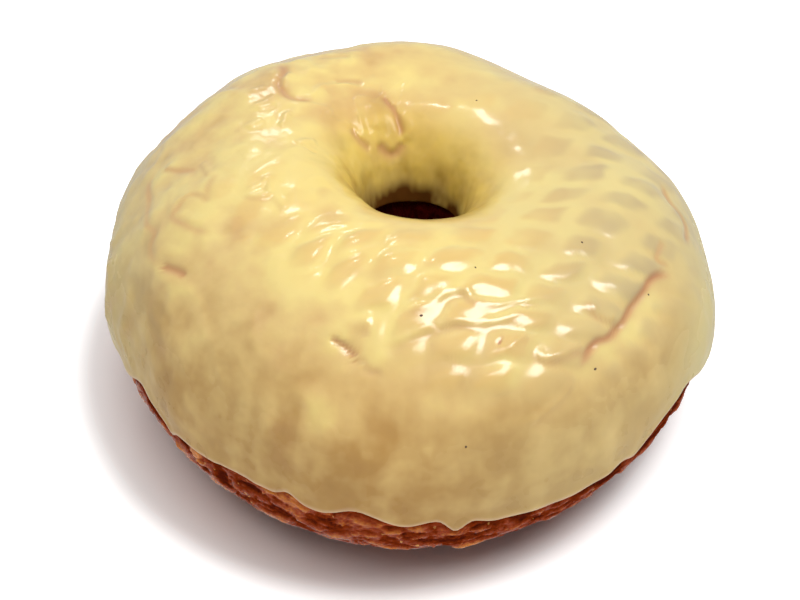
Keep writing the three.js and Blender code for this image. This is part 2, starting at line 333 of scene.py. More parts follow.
class Field:
    """A value in a node tree that is worked with like a number, each step adding a node."""

    def __init__(self, tree, socket):
        self.tree = tree
        self.socket = socket

    # what a field does with other values, one node each
    __add__ = step(MATH_NODE, "ADD")
    __radd__ = step(MATH_NODE, "ADD", turned=True)
    __sub__ = step(MATH_NODE, "SUBTRACT")
    __rsub__ = step(MATH_NODE, "SUBTRACT", turned=True)
    __mul__ = step(MATH_NODE, "MULTIPLY")
    __rmul__ = step(MATH_NODE, "MULTIPLY", turned=True)
    __truediv__ = step(MATH_NODE, "DIVIDE")
    __rtruediv__ = step(MATH_NODE, "DIVIDE", turned=True)
    __pow__ = step(MATH_NODE, "POWER")
    __abs__ = step(MATH_NODE, "ABSOLUTE")
    sign = step(MATH_NODE, "SIGN")
    cos = step(MATH_NODE, "COSINE")
    sin = step(MATH_NODE, "SINE")
    exp = step(MATH_NODE, "EXPONENT")
    arctan2 = step(MATH_NODE, "ARCTAN2")
    wrap = step(MATH_NODE, "WRAP")
    above = step(MATH_NODE, "GREATER_THAN")
    lower_of = step(MATH_NODE, "MINIMUM")
    higher_of = step(MATH_NODE, "MAXIMUM")
    plus = step(VECTOR_NODE, "ADD")
    minus = step(VECTOR_NODE, "SUBTRACT")
    times = step(VECTOR_NODE, "MULTIPLY")
    cross = step(VECTOR_NODE, "CROSS_PRODUCT")
    unit = step(VECTOR_NODE, "NORMALIZE")
    dot = step(VECTOR_NODE, "DOT_PRODUCT", output="Value")
    length = step(VECTOR_NODE, "LENGTH", output="Value")

    def clamped(self):
        return self.lower_of(1.0).higher_of(0.0)

    def bell(self, width):
        """1 at zero, falling off like a bell over the width."""
        share = self / width
        return (share * share * -1.0).exp()

    def ramp(self, start, end):
        """A smooth step from 0 at start to 1 at end."""
        node = self.tree.nodes.new("ShaderNodeMapRange")
        node.interpolation_type = "SMOOTHSTEP"
        return plugged(self.tree, node, (self, start, end))

    def angle_ramp(self, start, end):
        """A smooth step between two angles in degrees."""
        return self.ramp(math.radians(start), math.radians(end))

    def mix(self, first, second):
        """first where this field is 0, second where it is 1."""
        return first + self * (second - first)

    def scaled(self, size):
        return added_node(self.tree, VECTOR_NODE, {"operation": "SCALE"}, Vector=self, Scale=size)

    def parts(self):
        node = self.tree.nodes.new("ShaderNodeSeparateXYZ")
        plug(self.tree, node.inputs[0], self)
        return [Field(self.tree, output) for output in node.outputs]

    def noise(self, lump, detail=2.0, roughness=0.5, seed=0.0):
        """Noise from about -1 to 1 at this place, with lumps of the given length."""
        noise = added_node(self.tree, "ShaderNodeTexNoise", {"noise_dimensions": "4D"}, Vector=self, W=seed,
                           Scale=1.0 / lump, Detail=detail, Roughness=roughness)
        return (noise - 0.5) * 2.0

    def flakes(self, wide):
        """A random value from 0 to 1 for each flake of the given width."""
        flakes = added_node(self.tree, "ShaderNodeTexVoronoi", output="Color", Vector=self, Scale=1.0 / wide)
        return flakes.parts()[0]

    def colour(self, *stops):
        """A colour ramp over this field; each stop is a place and a colour."""
        node = self.tree.nodes.new("ShaderNodeValToRGB")
        plug(self.tree, node.inputs[0], self)
        elements = node.color_ramp.elements
        while len(elements) < len(stops):
            elements.new(1.0)
        for element, (place, colour) in zip(elements, stops):
            element.position = place
            element.color = (*colour, 1.0)
        return Field(self.tree, node.outputs[0])


def plug(tree, socket, value):
    """Links a field to a socket, or sets the socket to a plain value."""
    if isinstance(value, Field):
        tree.links.new(value.socket, socket)
    else:
        socket.default_value = value


def plugged(tree, node, values, output=0):
    for socket, value in zip(node.inputs, values):
        plug(tree, socket, value)
    return Field(tree, node.outputs[output])


def combined(tree, x, y, z):
    return plugged(tree, tree.nodes.new("ShaderNodeCombineXYZ"), (x, y, z))


def round_axis(turn, radius, level):
    """The place at a radius and a level, turned round the hole's axis."""
    return combined(turn.tree, radius * turn.cos(), radius * turn.sin(), level)


def set_inputs(tree, node, **values):
    """Links or sets a node's inputs by name, with spaces written as underscores."""
    for name, value in values.items():
        plug(tree, node.inputs[name.replace("_", " ")], value)


def added_node(tree, kind, settings=None, output=0, **inputs):
    """Adds a node with its settings and inputs, and returns the output that is asked for."""
    node = tree.nodes.new(kind)
    for name, value in (settings or {}).items():
        setattr(node, name, value)
    set_inputs(tree, node, **inputs)
    return Field(tree, node.outputs[output])


def new_tree(name, inputs, outputs):
    """A Geometry Nodes tree with inputs and outputs listed by kind, its input fields and its output node."""
    tree = bpy.data.node_groups.new(name, "GeometryNodeTree")
    for direction, kinds in (("INPUT", inputs), ("OUTPUT", outputs)):
        for kind, labels in kinds.items():
            for label in labels:
                tree.interface.new_socket(label, in_out=direction, socket_type="NodeSocket" + kind)
    start = tree.nodes.new("NodeGroupInput")
    given = {label: Field(tree, start.outputs[label]) for labels in inputs.values() for label in labels}
    return tree, given, tree.nodes.new("NodeGroupOutput")


def grouped(tree, group, given, outputs, **own):
    """Uses a node group in a tree: some inputs of its own, and the others from the tree's inputs."""
    node = tree.nodes.new("GeometryNodeGroup")
    node.node_tree = group
    for socket in node.inputs:
        plug(tree, socket, own[socket.name] if socket.name in own else given[socket.name])
    return [Field(tree, node.outputs[name]) for name in outputs]


def with_stored(tree, surface, values, kind="FLOAT"):
    """Stores each value on the surface under its name."""
    for name, value in values.items():
        surface = added_node(tree, "GeometryNodeStoreNamedAttribute", {"data_type": kind},
                             Geometry=surface, Name=name, Value=value)
    return surface


def named(tree, name, kind="FLOAT"):
    return added_node(tree, "GeometryNodeInputNamedAttribute", {"data_type": kind}, Name=name)


def ring_grid(tree, columns, rows):
    """A grid of faces, with the turn round the ring and the row that each of its points stands for."""
    grid = added_node(tree, "GeometryNodeMeshGrid", Size_X=1.0, Size_Y=1.0,
                      Vertices_X=columns + 1.0, Vertices_Y=rows + 1.0)
    x, y, _ = added_node(tree, "GeometryNodeInputPosition").parts()
    return grid, (x + 0.5) * FULL_TURN, (y + 0.5) * rows


def wave_sum(turn, waves):
    total = 0.0
    for crests, size, crest in waves:
        total = ((turn - math.radians(crest)) * crests).cos() * (size * MM) + total
    return total


def angle_at_share(share, power):
    """The section angle at which the rounded curve has reached a share of its height."""
    across = (1.0 - abs(share) ** power) ** (1.0 / power)
    return share.arctan2(across)


FORM_INPUTS = ("Ring Radius", "Ring Height", "Hole Radius", "Waist Height")
EDGE_INPUTS = ("Side Height", "Hole Height")


def ring_form_group():
    """The smooth ring: a point and its normal for a turn and a section angle."""
    tree, given, end = new_tree("Ring Form", {"Float": ("Turn", "Section", *FORM_INPUTS)},
                                {"Vector": ("Point", "Normal")})
    turn = given["Turn"]
    waist = given["Waist Height"]
    outer = given["Ring Radius"] + wave_sum(turn, PLAN_WAVES)
    top = given["Ring Height"] + wave_sum(turn, HEIGHT_WAVES)
    hole = given["Hole Radius"] + wave_sum(turn, HOLE_WAVES)
    crown = hole + (outer - hole) * CROWN_PLACE
    across = given["Section"].cos()
    along = given["Section"].sin()
    is_outer = across.above(0.0)
    is_upper = along.above(0.0)
    power = is_upper.mix(ROUND_UNDER, is_outer.mix(ROUND_HOLE, ROUND_SIDE))
    reach = (abs(across) ** power + abs(along) ** power) ** (-1.0 / power)
    x = across * reach
    y = along * reach
    span = is_outer.mix(crown - hole, outer - crown)
    rise = is_upper.mix(waist + FLAT_DEPTH, top - waist)
    radius = crown + span * x
    level = waist + rise * y
    tilt = power - 1.0
    out = across.sign() * abs(x) ** tilt / span
    up = along.sign() * abs(y) ** tilt / rise
    set_inputs(tree, end, Point=round_axis(turn, radius, level), Normal=round_axis(turn, out, up).unit())
    return tree


def icing_edges_group():
    """The section angles where the icing ends: on the side below the waist, and in the hole."""
    tree, given, end = new_tree("Icing Edges", {"Float": ("Turn", *EDGE_INPUTS, *FORM_INPUTS)},
                                {"Float": ("Side Edge", "Hole Edge")})
    turn = given["Turn"]
    waist = given["Waist Height"]
    side_height = given["Side Height"] + wave_sum(turn, SIDE_EDGE_WAVES)
    for place, drop, width in RUNS:
        gap = (turn - math.radians(place)).wrap(math.pi, -math.pi)
        side_height = side_height - gap.bell(math.radians(width)) * (drop * MM)
    hole_height = given["Hole Height"] + wave_sum(turn, HOLE_EDGE_WAVES)
    top = given["Ring Height"] + wave_sum(turn, HEIGHT_WAVES)
    side = angle_at_share((side_height - waist) / (waist + FLAT_DEPTH), ROUND_UNDER)
    hole = math.pi - angle_at_share((hole_height - waist) / (top - waist), ROUND_HOLE)
    set_inputs(tree, end, Side_Edge=side, Hole_Edge=hole)
    return tree


def ring_readers(tree, given):
    """Two functions for a tree that is given the ring's sizes: on_ring gives the point and its normal for a
    turn and a section angle, and rims gives the section angles of the icing's two rims for a turn."""
    form = ring_form_group()
    edges = icing_edges_group()

    def on_ring(turn, section):
        return grouped(tree, form, given, ("Point", "Normal"), Turn=turn, Section=section)

    def rims(turn):
        return grouped(tree, edges, given, ("Side Edge", "Hole Edge"), Turn=turn)

    return on_ring, rims


def lumps_at(place):
    total = 0.0
    for size, length, along, start in LUMPS:
        count = place.dot(along) * (FULL_TURN / (length * MM))
        total = (count + start).sin() * (size * MM) + total
    return total


def counted_on_rack(count, x, y):
    bend = x * x * count["xx"] + x * y * count["xy"] + y * y * count["yy"]
    return x * count["x"] + y * count["y"] + bend + count["start"]


def past_seam(place):
    """How far a place lies beyond the bright seam, below zero on the rack's side of it."""
    return place.minus(SEAM_POINT).dot(SEAM_SIDE)


def rack_relief(place, normal, section):
    """The rack's grooves and cells at a place, each from 0 to 1, and how clear the pattern is there."""
    across, along, _ = place.parts()
    _, _, up = normal.parts()
    x = across / RACK_SPAN + place.noise(9 * MM, seed=3.0) * RACK_WANDER
    y = (along - RACK_CENTRE_Y) / RACK_SPAN + place.noise(9 * MM, seed=4.0) * RACK_WANDER
    row = (1.0 - (counted_on_rack(RACK_ROWS, x, y) * FULL_TURN).cos()) * 0.5
    column = (1.0 - (counted_on_rack(RACK_COLUMNS, x, y) * FULL_TURN).cos()) * 0.5
    dip = (row + column) * 0.5
    row = row ** GROOVE_SHARPNESS
    column = column ** GROOVE_SHARPNESS
    blob = (1.0 - row) * (1.0 - column)
    behind = along - across * RACK_BACK_LEAN
    clear = up.ramp(*RACK_SLOPE) * (1.0 - behind.ramp(*RACK_BEHIND)) * across.ramp(*RACK_LEFT)
    clear = clear * section.angle_ramp(*RACK_SECTIONS) * past_seam(place).ramp(*SEAM_FADE)
    return (1.0 - blob + dip) * 0.5, blob, clear


def routes_on_ring(tree, on_ring, routes):
    """Routes of turn and section, smoothed and laid on the ring as lines, with a side direction stored."""
    curve = added_node(tree, "GeometryNodeMeshToCurve", Mesh=routes)
    curve = added_node(tree, "GeometryNodeCurveSplineType", {"spline_type": "CATMULL_ROM"}, Curve=curve)
    curve = added_node(tree, "GeometryNodeResampleCurve", {"mode": "EVALUATED"}, Curve=curve)
    turn, section, _ = added_node(tree, "GeometryNodeInputPosition").parts()
    point, normal = on_ring(turn, section)
    curve = with_stored(tree, curve, {"up": normal}, "FLOAT_VECTOR")
    curve = added_node(tree, "GeometryNodeSetPosition", Geometry=curve, Position=point)
    tangent = added_node(tree, "GeometryNodeInputTangent")
    left = named(tree, "up", "FLOAT_VECTOR").cross(tangent)
    curve = with_stored(tree, curve, {"left": left}, "FLOAT_VECTOR")
    along = Field(tree, tree.nodes.new("GeometryNodeSplineParameter").outputs["Factor"])
    taper = along.ramp(0.0, TAPER_SHARE) * along.ramp(1.0, 1.0 - TAPER_SHARE)
    return added_node(tree, "GeometryNodeCurveToMesh", Curve=with_stored(tree, curve, {"taper": taper}))


def nearest_on(tree, lines, place):
    """The distance from a place to the nearest line, its nearest point, and a reader for what it stores."""
    node = tree.nodes.new("GeometryNodeProximity")
    node.target_element = "EDGES"
    set_inputs(tree, node, Geometry=lines, Source_Position=place)
    index = added_node(tree, "GeometryNodeSampleNearest", Geometry=lines, Sample_Position=place)

    def stored(name, kind="FLOAT"):
        return added_node(tree, "GeometryNodeSampleIndex", {"data_type": kind}, Geometry=lines,
                          Value=named(tree, name, kind), Index=index)

    return Field(tree, node.outputs["Distance"]), Field(tree, node.outputs["Position"]), stored


def crease_relief(tree, lines, place):
    """The height of the creases at a place, the painted shade at their foot and the painted dark of the
    deepest.
    """
    distance, closest, stored = nearest_on(tree, lines, place)
    deep = stored("deep") * stored("taper")
    swell = stored("swell") * stored("taper")
    wide = stored("wide")
    height = swell * distance.bell(wide * SWELL_REACH) * SWELL_SHARE - deep * distance.bell(wide)
    side = place.minus(closest).dot(stored("left", "FLOAT_VECTOR")) / wide
    foot = (side * swell.sign() * -1.0 - 0.7).bell(1.2) * distance.bell(wide * FOOT_REACH)
    fresh = (place.noise(5 * MM, seed=8.0) * 0.7 + 0.85).clamped()
    shade = ((deep * 0.6 + abs(swell)) / SHADE_DEPTH).clamped() * foot * fresh
    dark = ((deep - DARK_START) / DARK_SPAN).clamped() * distance.bell(wide * DARK_REACH)
    return height, shade, dark


def rope_relief(tree, lines, place):
    """The height of raised ropes at a place, and the shade beside them."""
    distance, closest, stored = nearest_on(tree, lines, place)
    lift = stored("deep") * stored("taper") * -1.0
    wide = stored("wide")
    side = place.minus(closest).dot(SHADED_SIDE) / wide
    shade = (side - 1.3).bell(0.9) * distance.bell(wide * ROPE_SHADE_REACH)
    return distance.bell(wide) * lift, shade * (lift / ROPE_SHADE_HEIGHT).clamped()


def fold_fields(tree, lines, place):
    """The height of creases and ropes at a place, the painted shade beside them, and the painted dark of the
    deepest.
    """
    split = tree.nodes.new("GeometryNodeSeparateGeometry")
    set_inputs(tree, split, Geometry=lines, Selection=named(tree, "deep").above(0.0))
    crease_height, crease_shade, dark = crease_relief(tree, Field(tree, split.outputs["Selection"]), place)
    rope_height, rope_shade = rope_relief(tree, Field(tree, split.outputs["Inverted"]), place)
    return crease_height + rope_height, crease_shade.higher_of(rope_shade), dark


def near_spot(on_ring, place, turn, section, reach):
    """1 at a spot on the ring, falling off like a bell over its reach in millimetres."""
    spot, _ = on_ring(math.radians(turn), math.radians(section))
    return place.minus(spot).length().bell(reach * MM)


def spot_fields(on_ring, place):
    """How bright the pooled places make a point, and how far it swells."""
    bright, swell = 0.0, 0.0
    for turn, section, reach, brightness, lift in SPOTS:
        near = near_spot(on_ring, place, turn, section, reach)
        bright = near * brightness + bright
        swell = near * (lift * MM) + swell
    return bright, swell


def crumpled_icing(place, clear):
    """The raised patches and ridges on the left where no rack pressed: height, painted light and shade that
    follow it, and painted shade along lines.
    """
    across, _, _ = place.parts()
    free = across.ramp(*CRUMPLED_SIDE) * (1.0 - clear)
    rough = place.noise(17 * MM, seed=5.0).ramp(-0.35, 0.35) * 0.8 + free * 0.6
    knots = place.noise(4.6 * MM, detail=1.5, seed=2.0) * (rough * 1.3 + 0.3)
    patches = (place.noise(9 * MM, seed=16.0) * 1.6 + 0.45).clamped() * free
    lines = (place.noise(14 * MM, detail=2.0, seed=15.0) + 0.09).bell(0.06)
    ridges = (1.0 - abs(place.noise(9 * MM, detail=1.0, seed=18.0)) * 5.0).clamped()
    ridges = ridges * (place.noise(7 * MM, seed=19.0) * 1.6 + 0.4).clamped() * free
    height = knots * KNOT_HEIGHT + patches * PATCH_HEIGHT + ridges * CRUMPLE_HEIGHT
    painted_relief_light = knots + patches * PATCH_LUMPS + ridges * RIDGE_LUMPS
    return height, painted_relief_light, lines * patches * LINE_SHADE


def lip(row, rows, lip_rows, lip_share):
    """The share of the way along the coat, and how far round its lip a row is, from 1 at the rim to 0."""
    near = (row / lip_rows).clamped() * QUARTER_TURN
    far = ((rows - row) / lip_rows).clamped() * QUARTER_TURN
    middle = ((row - lip_rows) / (rows - lip_rows * 2.0)).clamped()
    share = (1.0 - near.cos() + far.cos()) * lip_share + middle * (1.0 - 2.0 * lip_share)
    return share, 2.0 - near.sin() - far.sin()


def icing_coat_tree(material):
    """The closed coat of icing, from its rim on the side to its rim in the hole."""
    tree, given, end = new_tree("Icing Coat", {
        "Geometry": ("Routes",),
        "Float": (*FORM_INPUTS, *EDGE_INPUTS, "Thickness", "Pillow Height", "Fold Strength"),
        "Int": ("Columns", "Outer Rows", "Inner Rows"),
    }, {"Geometry": ("Coat",)})
    on_ring, rims = ring_readers(tree, given)
    rows = given["Outer Rows"] + given["Inner Rows"]
    grid, turn, row = ring_grid(tree, given["Columns"], rows)
    lip_share = given["Thickness"] * 0.5 / COAT_LENGTH
    outer_share, outer_lip = lip(row, given["Outer Rows"], OUTER_LIP_ROWS, lip_share)
    inner_share, inner_lip = lip(rows - row, given["Inner Rows"], INNER_LIP_ROWS, lip_share)
    is_inner = row.above(given["Outer Rows"] + 0.5)
    share = is_inner.mix(outer_share, inner_share)
    round_lip = is_inner.mix(outer_lip, inner_lip)

    section = share.mix(*rims(turn))
    point, normal = on_ring(turn, section)

    fold_height, shade, dark = fold_fields(tree, routes_on_ring(tree, on_ring, given["Routes"]), point)
    bright, swell = spot_fields(on_ring, point)
    groove, cell, clear = rack_relief(point, normal, section)
    crumpled_height, crumpled_painted_light, line_shade = crumpled_icing(point, clear)
    across, along, _ = point.parts()
    _, _, up = normal.parts()
    flank = (1.0 - up.ramp(*FLANK_SLOPE)) * section.angle_ramp(*FLANK_SECTIONS)
    wall = section.angle_ramp(*WALL_SECTIONS)
    radius, length = STREAK_SPREAD
    streak = round_axis(turn, radius, share * length).noise(4.5 * MM, detail=3.0, seed=7.0)
    radius, length = DRIP_SPREAD
    drip = round_axis(turn, radius, share * length).noise(3.0 * MM, seed=17.0)
    dents = point.noise(9 * MM, detail=1.0, seed=1.0)

    pressed = along.ramp(*RACK_PRESSED) * 1.4 + 0.8 + point.noise(10 * MM, seed=9.0) * 0.8
    pillows = (0.5 - groove) * pressed * clear * given["Pillow Height"]
    from_rim = share * COAT_LENGTH
    bead = (from_rim - 1.1 * MM).bell(1.2 * MM) * BEAD_HEIGHT
    relief = (pillows + fold_height * given["Fold Strength"] + swell + bead + crumpled_height
              + streak * flank * STREAK_HEIGHT + dents * DENT_HEIGHT + drip * wall * DRIP_HEIGHT)
    depth = is_inner.mix(round_lip * 0.5, 1.0 - round_lip * 0.5) * given["Thickness"]
    height = lumps_at(point) - depth + relief * (1.0 - is_inner) * (1.0 - round_lip).clamped()
    place = point.plus(normal.scaled(height)).plus(HOLE_AXIS)

    patchy = (point.noise(6.5 * MM, detail=1.0, seed=10.0) * 1.2 + 0.8).clamped()
    seam = past_seam(point).bell(SEAM_WIDTH) * across.ramp(*SEAM_START) * across.ramp(*SEAM_STOP)
    in_bowl = section.angle_ramp(*BOWL_SECTIONS)
    coat = with_stored(tree, grid, {
        "thin": cell.ramp(0.15, 1.05) * clear * patchy,
        # painted shade at the foot of creases, beside ropes and along the patch lines, weaker in the bowl
        "crease": shade.higher_of(line_shade) * (1.0 - in_bowl * 0.6),
        "dark": dark,
        "rim": from_rim / MM,
        "bright": bright + seam * 0.5,
        "flank": flank,
        "streak": streak,
        # painted light and shade: lighter on raised lumps, darker in the dents
        "lumpy": dents + crumpled_painted_light,
        "wall": wall,
        "drip": drip,
        "shaft": section.angle_ramp(*PAINTED_HOLE_SHADE_SECTIONS),
        "dull": near_spot(on_ring, point, *DULL_SPOT),
    })
    coat = added_node(tree, "GeometryNodeSetPosition", Geometry=coat, Position=place)
    plug(tree, end.inputs[0], finished_surface(tree, coat, material))
    return tree


def finished_surface(tree, surface, material):
    """Closes the seams, smooths the shading and ends the tree in plain geometry with its material."""
    surface = added_node(tree, "GeometryNodeMergeByDistance", Geometry=surface, Distance=SEAM_GAP)
    surface = added_node(tree, "GeometryNodeSetShadeSmooth", Geometry=surface, Shade_Smooth=True)
    surface = added_node(tree, "GeometryNodeRealizeInstances", Geometry=surface)
    return added_node(tree, "GeometryNodeSetMaterial", Geometry=surface, Material=material)


def crust_tree(material):
    """The closed fried ring: recessed under the icing, craggy where its crust is bare, flat below."""
    tree, given, end = new_tree("Fried Ring", {
        "Geometry": ("Start",),
        "Float": (*FORM_INPUTS, *EDGE_INPUTS, "Thickness", "Inset", "Crag Height"),
        "Int": ("Columns", "Coated Rows", "Bare Rows"),
    }, {"Geometry": ("Crust",)})
    on_ring, rims = ring_readers(tree, given)
    rows = given["Coated Rows"] + given["Bare Rows"]
    grid, turn, row = ring_grid(tree, given["Columns"], rows)
    side, hole = rims(turn)
    coated = (row / given["Coated Rows"]).clamped()
    bare = ((row - given["Coated Rows"]) / given["Bare Rows"]).clamped()
    is_bare = row.above(given["Coated Rows"] + 0.5)
    section = is_bare.mix(coated.mix(side, hole), bare.mix(hole, side + FULL_TURN))
    point, normal = on_ring(turn, section)

    hidden = given["Thickness"] + REST_GAP
    from_edge = bare.lower_of(1.0 - bare) * is_bare * COAT_LENGTH
    shown = from_edge.ramp(0.0, 1.6 * MM)
    arc = section * STRAND_ARC + point.noise(6 * MM, detail=2.0, seed=11.0) * (1.6 * MM)
    for crests, size, start in STRAND_WAVES:
        arc = arc + (turn * crests + start).sin() * (size * MM)
    woven = round_axis(turn, STRAND_RADIUS, arc)
    strands = abs(woven.noise(2.4 * MM, detail=2.0, seed=12.0)) ** 0.6
    crags = point.noise(5 * MM, detail=3.0, roughness=0.55, seed=13.0)
    flakes = point.plus(woven.scaled(0.5)).flakes(3.2 * MM)
    fine = point.noise(1.3 * MM, detail=2.0, seed=14.0)
    relief = crags * 0.8 + strands * 1.2 + flakes * 0.9 + fine * 0.2 - 1.0
    depth = shown.mix(hidden, given["Inset"])
    height = lumps_at(point) * (1.0 - shown) - depth + relief * given["Crag Height"] * shown
    x, y, level = point.plus(normal.scaled(height)).plus(HOLE_AXIS).parts()
    place = combined(tree, x, y, level.higher_of(0.0))
    crust = with_stored(tree, grid, {"ridge": relief, "from_edge": from_edge / MM})
    crust = added_node(tree, "GeometryNodeSetPosition", Geometry=crust, Position=place)
    plug(tree, end.inputs[0], finished_surface(tree, crust, material))
    return tree


def new_material(name):
    """A material with its tree, its shader node and a field for places on the piece."""
    material = bpy.data.materials.new(name)
    material.use_nodes = True
    tree = material.node_tree
    shader = tree.nodes["Principled BSDF"]
    coordinates = tree.nodes.new("ShaderNodeTexCoord")
    return material, tree, shader, Field(tree, coordinates.outputs["Object"])


def attribute(tree, name):
    node = tree.nodes.new("ShaderNodeAttribute")
    node.attribute_name = name
    return Field(tree, node.outputs["Fac"])


def blended(share, first, second):
    """first where share is 0, second where it is 1, for colours."""
    node = share.tree.nodes.new("ShaderNodeMix")
    node.data_type = "RGBA"
    node.clamp_factor = True
    plug(share.tree, node.inputs["Factor"], share)
    for socket, value in ((node.inputs[6], first), (node.inputs[7], second)):
        plug(share.tree, socket, value if isinstance(value, Field) else (*value, 1.0))
    return Field(share.tree, node.outputs[2])


def bumped(tree, height, size, distance):
    return added_node(tree, "ShaderNodeBump", Height=height, Strength=size, Distance=distance)


def icing_colour(tree, looks, place, mottle):
    """The icing's colour: bright where it pooled, tan where the crust shows through, pale at its rim, with
    painted shade on the side, on the right, in the creases and deep in the hole, and a painted reflection
    along its left and right edges.
    """
    across, along, _ = place.parts()
    flank = attribute(tree, "flank")
    rim = attribute(tree, "rim")
    drip = attribute(tree, "drip")
    cloudy = place.noise(11 * MM, detail=3.0, seed=21.0)
    calm = 1.0 - flank * 0.35
    shoulder = flank * (1.0 - flank) * 4.0
    left = across.ramp(-10 * MM, -28 * MM) * (1.0 - flank * 0.6)
    right = across.ramp(-35 * MM, 35 * MM)

    # how thickly the icing covers the crust, plus painted shade: darker on the steep side (there partly thin
    # icing), on the right flank, at the shoulder and near the rim
    cover_and_painted_shade = 0.93 + attribute(tree, "bright") * 0.35 - along.ramp(-5 * MM, 20 * MM) * 0.03
    cover_and_painted_shade = cover_and_painted_shade - flank * (0.36 + right * 0.08) - shoulder * 0.1 - rim.ramp(17.0, 2.0) * 0.12
    cover_and_painted_shade = cover_and_painted_shade + attribute(tree, "lumpy") * calm * 0.28 + cloudy * calm * 0.26
    cover_and_painted_shade = cover_and_painted_shade + mottle * (0.1 + flank * 0.26) + attribute(tree, "streak") * flank * 0.3
    cover_and_painted_shade = cover_and_painted_shade - left * (0.1 - cloudy * 0.2 - mottle * 0.12)
    # the flank and low colours give the thin icing on the side together with painted shade there
    colour = cover_and_painted_shade.colour((0.0, looks.low_colour), (0.4, looks.flank_colour),
                          (0.72, looks.thin_colour), (1.0, looks.thick_colour))

    # a duller tone: the icing's own on the upper left, painted shade towards the right, and a painted
    # reflection of the pale floor along the far left and far right edges
    dull_and_painted_light = across.ramp(-5 * MM, 30 * MM) * (0.65 - flank * 0.25 - shoulder * 0.25) + left * 0.25
    dull_and_painted_light = dull_and_painted_light + across.ramp(-32 * MM, -48 * MM) * 0.6 + across.ramp(34 * MM, 47 * MM) * 0.7
    colour = blended(dull_and_painted_light, colour, looks.pale_colour)
    cell = blended(across.ramp(10 * MM, 32 * MM), looks.warm_cell_colour, looks.cell_colour)
    colour = blended(attribute(tree, "thin") * (0.74 + right * 0.18), colour, cell)

    between = (0.22 - drip * 1.5 + mottle * 0.3).clamped()
    wall = blended(between, looks.hole_colour, looks.drip_colour)
    colour = blended(attribute(tree, "wall") * (0.8 + mottle * 0.5), colour, wall)
    # painted shade deep in the hole, where the icing runs down into the shadow
    colour = blended(attribute(tree, "shaft") * (1.1 - drip * 1.2), colour, looks.shaft_colour)
    # painted shade at the foot of creases and beside ropes
    colour = blended(attribute(tree, "crease") * 0.8, colour, looks.crease_colour)
    # painted shade in the deepest creases
    colour = blended(attribute(tree, "dark") * 0.85, colour, looks.dark_colour)
    return blended(rim.ramp(1.8, 0.5) * (0.5 + mottle * 0.3), colour, looks.rim_colour)


def icing_material(looks):
    """Lemon icing: glossy on top, duller on the side, with fine dimples."""
    material, tree, shader, place = new_material("lemon icing")
    across, _, _ = place.parts()
    flank = attribute(tree, "flank")
    mottle = place.noise(4 * MM, detail=2.0, seed=22.0)
    pores = place.noise(0.9 * MM, detail=2.0, seed=23.0) * 0.12
    dimples = place.noise(2.4 * MM, detail=2.0, seed=24.0) * (0.4 + across.ramp(6 * MM, -20 * MM))
    # no gloss in the dull spot, nor in the painted shade deep in the hole
    gloss = (1.0 - attribute(tree, "dull") * 0.9) * (1.0 - attribute(tree, "shaft"))
    set_inputs(tree, shader, Base_Color=icing_colour(tree, looks, place, mottle),
               Roughness=0.22 + mottle * 0.03 + flank * 0.06,
               Normal=bumped(tree, dimples + pores, 0.6, 0.05 * MM),
               Specular_IOR_Level=(0.32 - flank * 0.2) * gloss, Coat_Weight=(0.22 - flank * 0.16) * gloss,
               Subsurface_Weight=0.12, Subsurface_Radius=(1.0, 0.6, 0.25), Subsurface_Scale=1.2 * MM,
               Coat_Roughness=0.08, IOR=1.45)
    return material


def crust_material(looks):
    """Fried crust: orange-brown on its ridges, dark red-brown in its hollows, and oily; with painted shade in
    the hollows, under the icing's lip, near the floor and on the right, a painted shadow in the hole, and
    painted glints.
    """
    material, tree, shader, place = new_material("fried crust")
    across, _, level = place.parts()
    edge = attribute(tree, "from_edge")
    blotch = place.noise(5 * MM, detail=3.0, roughness=0.6, seed=31.0)
    grain = place.noise(0.8 * MM, detail=3.0, roughness=0.6, seed=32.0)
    # painted shadow: the crust inside the hole is painted near black and kept from shining
    painted_hole_shadow = place.times((1.0, 1.0, 0.0)).length().ramp(22 * MM, 14 * MM)
    shadowed = across.ramp(0.0, 40 * MM) * 0.22
    # lighter on the ridges and darker in the hollows, partly the crust's own tone and partly painted shade,
    # and darker on the right as painted shade
    golden = attribute(tree, "ridge") * 0.6 + blotch * 0.6 + grain * 0.35 + 0.5 - shadowed
    golden = golden.clamped()
    colour = golden.colour((0.0, looks.dark_colour), (0.45, looks.brown_colour), (1.0, looks.golden_colour))
    # painted shade under the icing's lip and near the floor
    shade = edge.ramp(1.4, 0.2) * 0.8 + level.ramp(6 * MM, 1 * MM) * 0.5
    colour = blended(shade, colour, looks.dark_colour)
    # painted glints: tiny bright golden dots on the bare crust
    painted_glints = ((place.flakes(0.4 * MM) - 0.99) * 90.0).clamped() * edge.ramp(0.6, 1.6)
    colour = blended(painted_glints * 0.45, colour, looks.painted_glint_colour)
    colour = blended(painted_hole_shadow, colour, looks.hole_colour)
    set_inputs(tree, shader, Base_Color=colour, Roughness=0.2 + grain * 0.08 - blotch * 0.06,
               Specular_IOR_Level=(golden - 0.25).clamped() * (1.0 - painted_hole_shadow) * 0.5,
               Normal=bumped(tree, grain + blotch * 0.3, 0.8, 0.14 * MM), Subsurface_Weight=0.05,
               Subsurface_Radius=(1.0, 0.4, 0.2), Subsurface_Scale=1.0 * MM, IOR=1.4)
    return material


def speck_material(looks):
    """Dark crumbs: brown to nearly black."""
    material, tree, shader, place = new_material("dark speck")
    shade = place.noise(0.4 * MM, seed=41.0) * 0.5 + 0.5
    set_inputs(tree, shader, Base_Color=blended(shade, looks.dark_colour, looks.brown_colour), Roughness=0.5)
    return material


